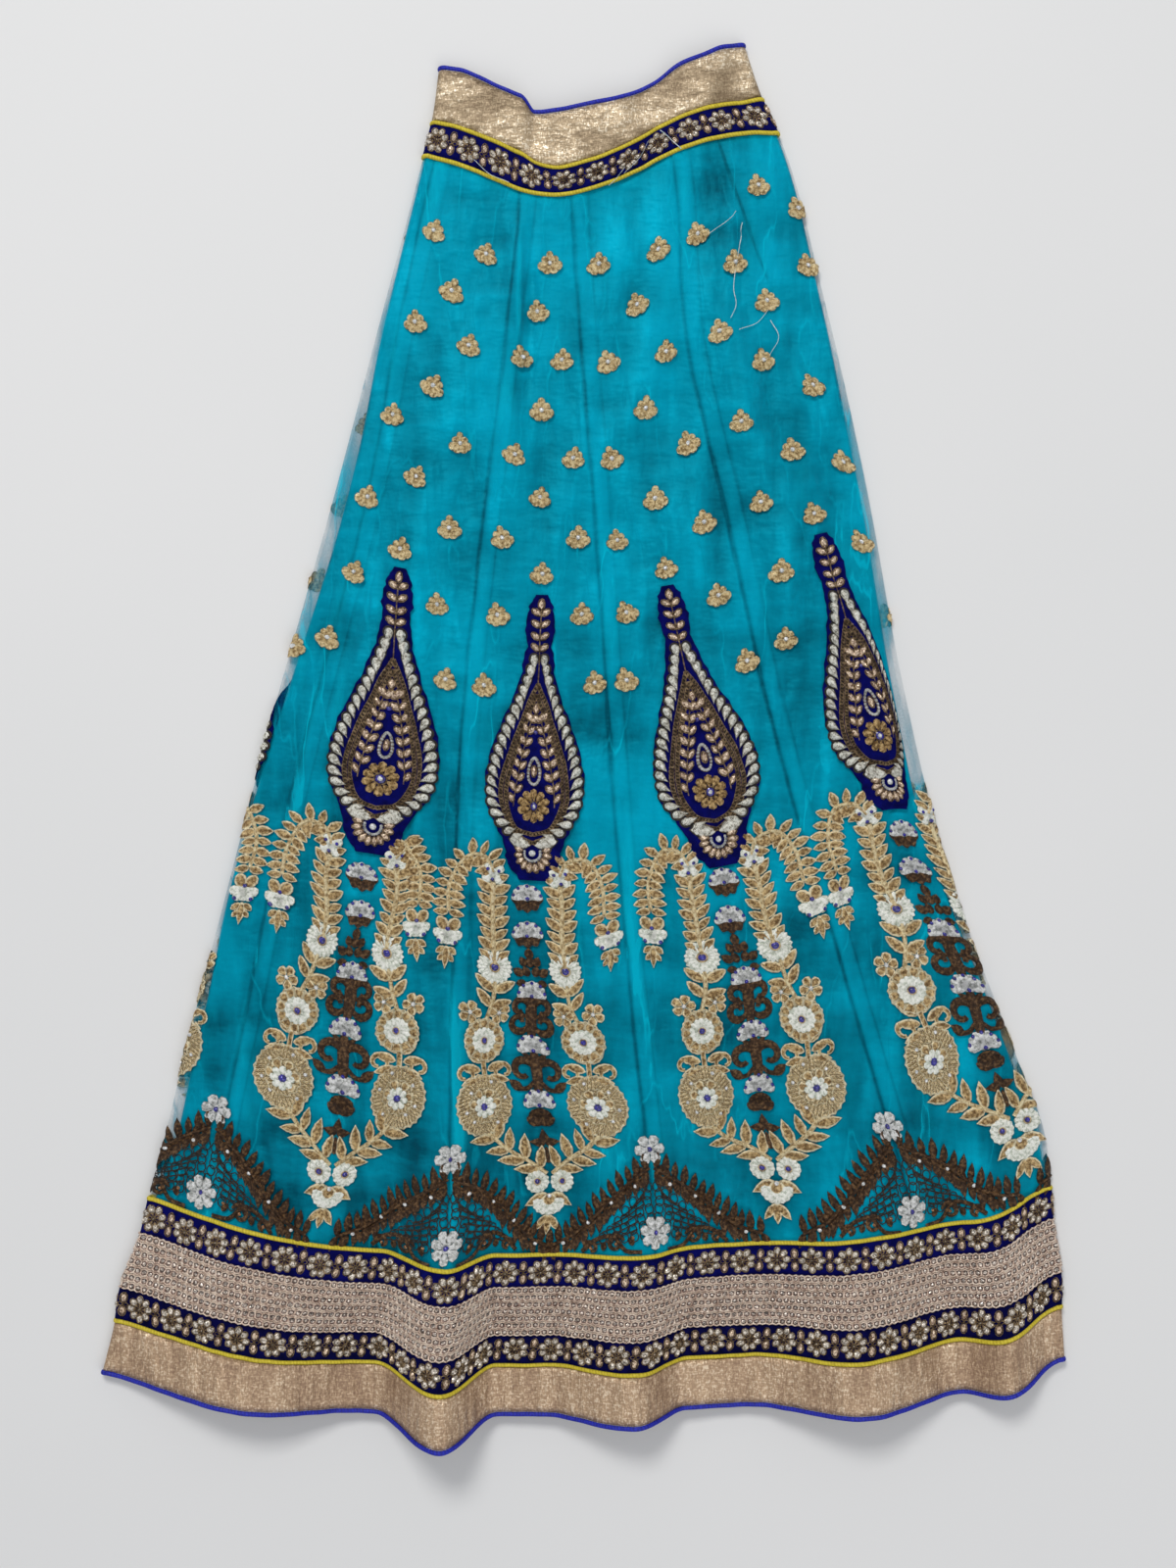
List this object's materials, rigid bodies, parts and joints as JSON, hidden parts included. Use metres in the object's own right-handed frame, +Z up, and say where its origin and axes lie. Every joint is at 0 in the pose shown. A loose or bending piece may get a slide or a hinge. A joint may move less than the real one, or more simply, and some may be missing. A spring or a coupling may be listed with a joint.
{
  "type": "lehenga skirt",
  "caption": "Flared gored skirt laid flat, front up: sheer turquoise net over satin lining, gold tissue waistband, velvet and braid hem trims, floral embroidery",
  "frame": {"origin": "under the middle of the skirt's bounding box, on the surface it lies on", "axes": "+Y runs from the hem to the waist, +X to the right of the front, +Z up out of the front"},
  "size_m": [0.7354, 1.0568, 0.0574],
  "materials": {
    "hem_braided_trim": "rosy metallic braid",
    "hem_edge_piping": "blue cord",
    "hem_lower_piping": "yellow cord",
    "hem_lower_velvet_trim": "navy velvet trim with stone flowers",
    "hem_tissue_band": "gold tissue with a crushed sheen",
    "hem_upper_piping": "yellow cord",
    "hem_upper_velvet_trim": "navy velvet trim with stone flowers",
    "lining_gore_1": "turquoise satin",
    "lining_gore_2": "turquoise satin",
    "lining_gore_3": "turquoise satin",
    "lining_gore_4": "turquoise satin",
    "lining_gore_5": "turquoise satin",
    "lining_gore_6": "turquoise satin",
    "lining_gore_7": "turquoise satin",
    "lining_gore_8": "turquoise satin",
    "net_gore_1": "sheer turquoise net",
    "net_gore_2": "sheer turquoise net",
    "net_gore_3": "sheer turquoise net",
    "net_gore_4": "sheer turquoise net",
    "net_gore_5": "sheer turquoise net",
    "net_gore_6": "sheer turquoise net",
    "net_gore_7": "sheer turquoise net",
    "net_gore_8": "sheer turquoise net",
    "patch_1": "navy velvet, padded",
    "patch_2": "navy velvet, padded",
    "patch_3": "navy velvet, padded",
    "patch_4": "navy velvet, padded",
    "waist_edge_piping": "blue cord",
    "waist_lower_piping": "yellow cord",
    "waist_tissue_band": "gold tissue with a crushed sheen",
    "waist_upper_piping": "yellow cord",
    "waist_velvet_trim": "navy velvet trim with stone flowers"
  },
  "bodies": {
    "root": {"hem_braided_trim": "hem_braided_trim", "hem_edge_piping": "hem_edge_piping", "hem_lower_piping": "hem_lower_piping", "hem_lower_velvet_trim": "hem_lower_velvet_trim", "hem_tissue_band": "hem_tissue_band", "hem_upper_piping": "hem_upper_piping", "hem_upper_velvet_trim": "hem_upper_velvet_trim", "lining_gore_1": "lining_gore_1", "lining_gore_2": "lining_gore_2", "lining_gore_3": "lining_gore_3", "lining_gore_4": "lining_gore_4", "lining_gore_5": "lining_gore_5", "lining_gore_6": "lining_gore_6", "lining_gore_7": "lining_gore_7", "lining_gore_8": "lining_gore_8", "net_gore_1": "net_gore_1", "net_gore_2": "net_gore_2", "net_gore_3": "net_gore_3", "net_gore_4": "net_gore_4", "net_gore_5": "net_gore_5", "net_gore_6": "net_gore_6", "net_gore_7": "net_gore_7", "net_gore_8": "net_gore_8", "patch_1": "patch_1", "patch_2": "patch_2", "patch_3": "patch_3", "patch_4": "patch_4", "waist_edge_piping": "waist_edge_piping", "waist_lower_piping": "waist_lower_piping", "waist_tissue_band": "waist_tissue_band", "waist_upper_piping": "waist_upper_piping", "waist_velvet_trim": "waist_velvet_trim"}
  },
  "joints": []
}
